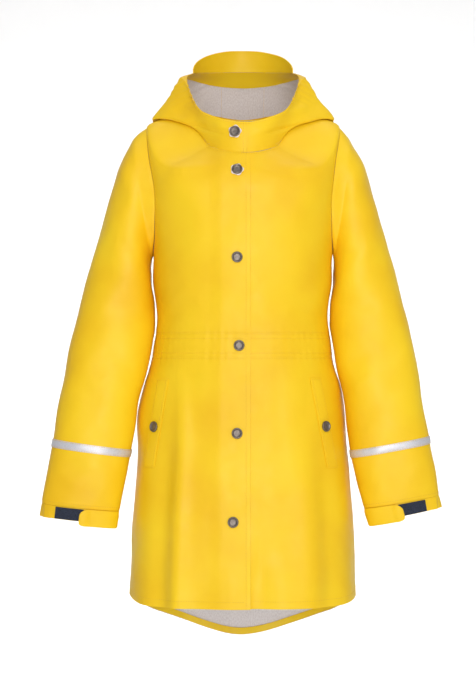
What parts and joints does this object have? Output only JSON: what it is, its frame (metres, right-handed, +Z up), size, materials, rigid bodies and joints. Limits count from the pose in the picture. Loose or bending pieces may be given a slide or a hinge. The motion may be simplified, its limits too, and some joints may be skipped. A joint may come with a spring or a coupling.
{
  "type": "kids raincoat",
  "caption": "Long hooded raincoat for a child, filled out as worn, with an overlapping snap front, gathered waist casing, slanted pockets and cuff tabs.",
  "frame": {"origin": "in the middle of the neck opening, level with the shoulders that carry the coat", "axes": "+Z up, front of the coat faces -Y, the wearer's left is +X"},
  "size_m": [0.5648, 0.2681, 0.8622],
  "materials": {
    "coated": "waterproof coated fabric, bright yellow outside, grey jersey inside",
    "hook": "navy hook and loop",
    "reflective": "silver reflective tape",
    "snap": "dark nickel ring caps",
    "petal": "pearly white"
  },
  "bodies": {
    "root": {"skirt_front_right": "coated", "skirt_front_left": "coated", "skirt_back": "coated", "waist_casing_front_right": "coated", "waist_casing_front_left": "coated", "waist_casing_back": "coated", "bodice_front_right": "coated", "bodice_front_left": "coated", "bodice_back": "coated", "skirt_back_turned_hem": "coated", "sleeve_right": "coated", "sleeve_hem_right": "coated", "reflective_tape_right": "reflective", "cuff_patch_right": "hook", "cuff_tab_right": "coated", "hood_side_right": "coated", "pocket_welt_right": "coated", "pocket_snap_right": "snap", "sleeve_left": "coated", "sleeve_hem_left": "coated", "reflective_tape_left": "reflective", "cuff_patch_left": "hook", "cuff_tab_left": "coated", "hood_side_left": "coated", "pocket_welt_left": "coated", "pocket_snap_left": "snap", "hood_centre": "coated", "hood_turned_hem": "coated", "hood_brim": "coated", "flower_washer_1": "petal", "flower_washer_2": "petal", "front_snap_1": "snap", "front_snap_2": "snap", "front_snap_3": "snap", "front_snap_4": "snap", "front_snap_5": "snap", "front_snap_6": "snap"}
  },
  "joints": []
}
